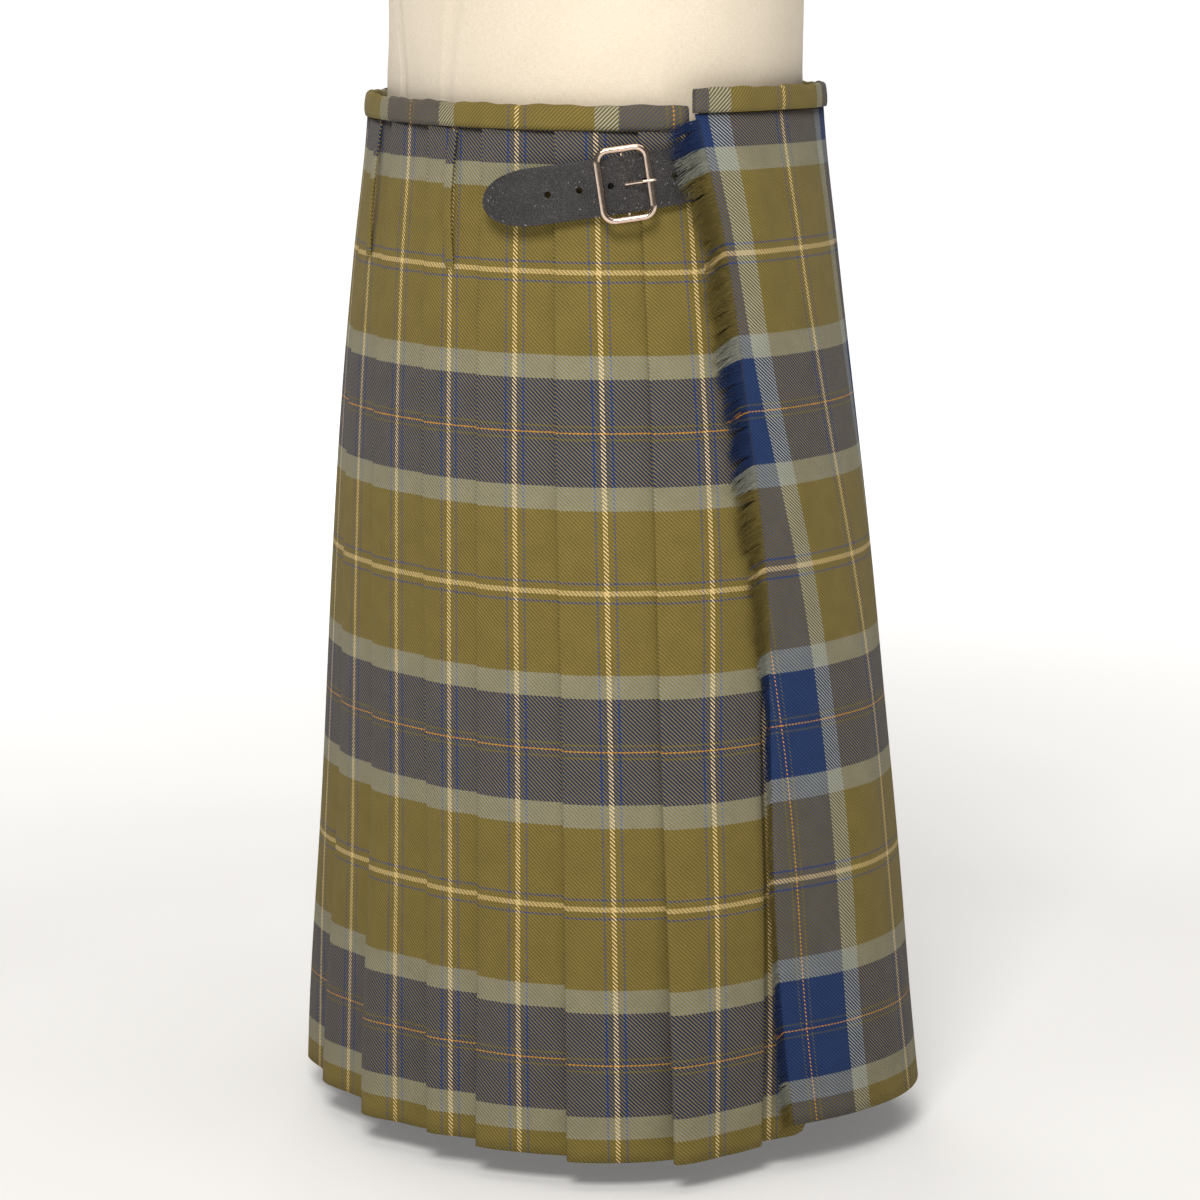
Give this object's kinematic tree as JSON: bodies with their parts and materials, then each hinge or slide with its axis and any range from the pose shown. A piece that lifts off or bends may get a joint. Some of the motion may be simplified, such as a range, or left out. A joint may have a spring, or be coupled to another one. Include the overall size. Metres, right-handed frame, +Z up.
{
  "type": "kilt on a dress form",
  "caption": "Knife-pleated tartan kilt with a fringed apron and buckled leather strap, worn by a limbless dress form on a round base.",
  "frame": {"origin": "centre of the base's underside, on the floor", "axes": "+Z up, -Y towards the front where the flat apron lies, -X towards the wearer's right where the fringe is"},
  "size_m": [0.4057, 0.3409, 1.149],
  "materials": {
    "tartan": "olive, navy and sage wool tartan in a two-up two-down twill",
    "fringe_wool": "frayed wool yarn, banded like the cloth",
    "black_leather": "black grained leather, satin",
    "nickel": "polished nickel plate",
    "form_linen": "cream linen jersey stretched on the form",
    "neck_cap_wood": "varnished pale wood",
    "stand_paint": "satin off-white paint"
  },
  "bodies": {
    "root": {"form_torso": "form_linen", "form_neck_cap": "neck_cap_wood", "stand_pole": "stand_paint", "stand_base": "stand_paint", "pleat_1": "tartan", "pleat_2": "tartan", "pleat_3": "tartan", "pleat_4": "tartan", "pleat_5": "tartan", "pleat_6": "tartan", "pleat_7": "tartan", "pleat_8": "tartan", "pleat_9": "tartan", "over_apron": "tartan", "under_apron": "tartan", "fringe": "fringe_wool", "waistband_back": "tartan", "waistband_over_apron": "tartan", "waistband_under_apron": "tartan", "belt_loop_right": "tartan", "belt_loop_left": "tartan", "strap_right": "black_leather", "buckle_frame_right": "nickel", "buckle_bar_right": "nickel", "buckle_prong_right": "nickel", "buckle_tab_right": "black_leather", "strap_left": "black_leather", "buckle_frame_left": "nickel", "buckle_bar_left": "nickel", "buckle_prong_left": "nickel", "buckle_tab_left": "black_leather"}
  },
  "joints": []
}
